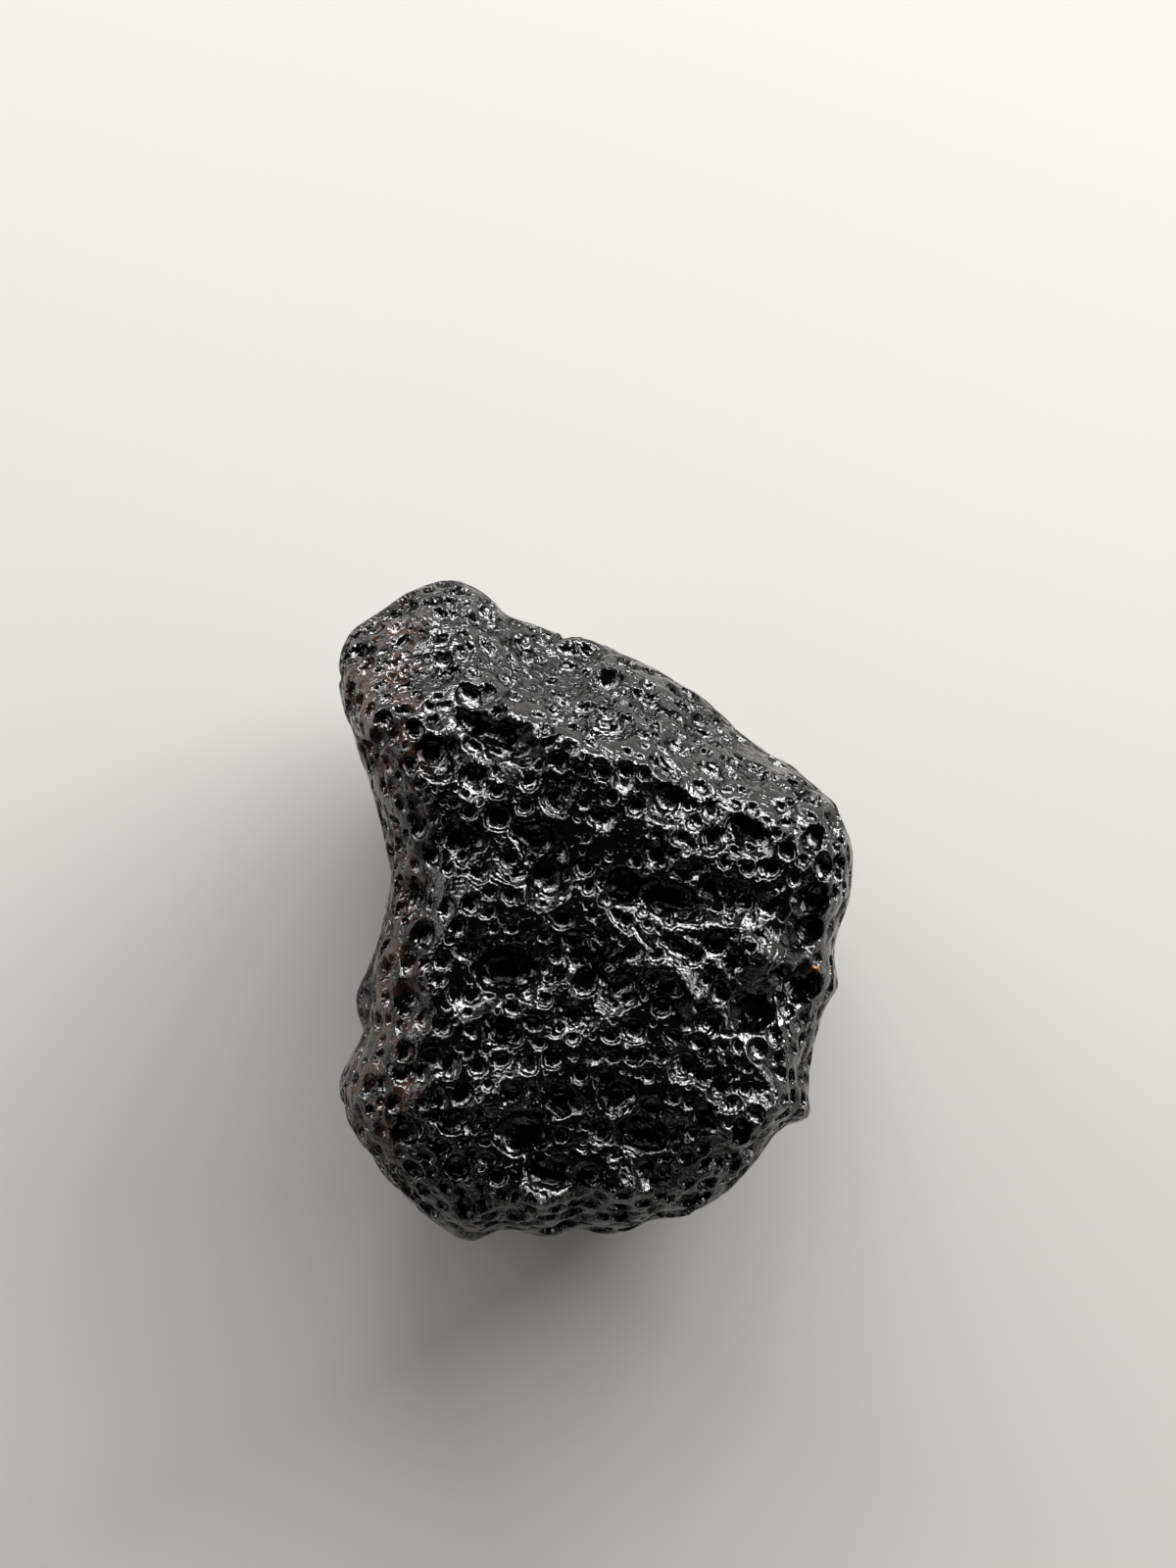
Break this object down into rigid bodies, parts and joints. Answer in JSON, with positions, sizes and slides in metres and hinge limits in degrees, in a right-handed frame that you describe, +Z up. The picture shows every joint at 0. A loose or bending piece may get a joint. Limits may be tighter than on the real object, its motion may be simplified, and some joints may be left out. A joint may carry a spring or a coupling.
{
  "type": "tektite",
  "caption": "Small lump of black natural glass with a deeply pitted, scalloped surface and a knob at one end, lying on its back.",
  "frame": {"origin": "on the surface the stone rests on, under the middle of its outline", "axes": "+Z up out of the best face, +Y along the stone towards the knob, +X to the right of the face as it is looked at"},
  "size_m": [0.0168, 0.0216, 0.012],
  "materials": {
    "tektite_glass": "etched natural glass, glossy inside the pits and slightly worn on the crests"
  },
  "bodies": {
    "root": {"tektite": "tektite_glass"}
  },
  "joints": []
}
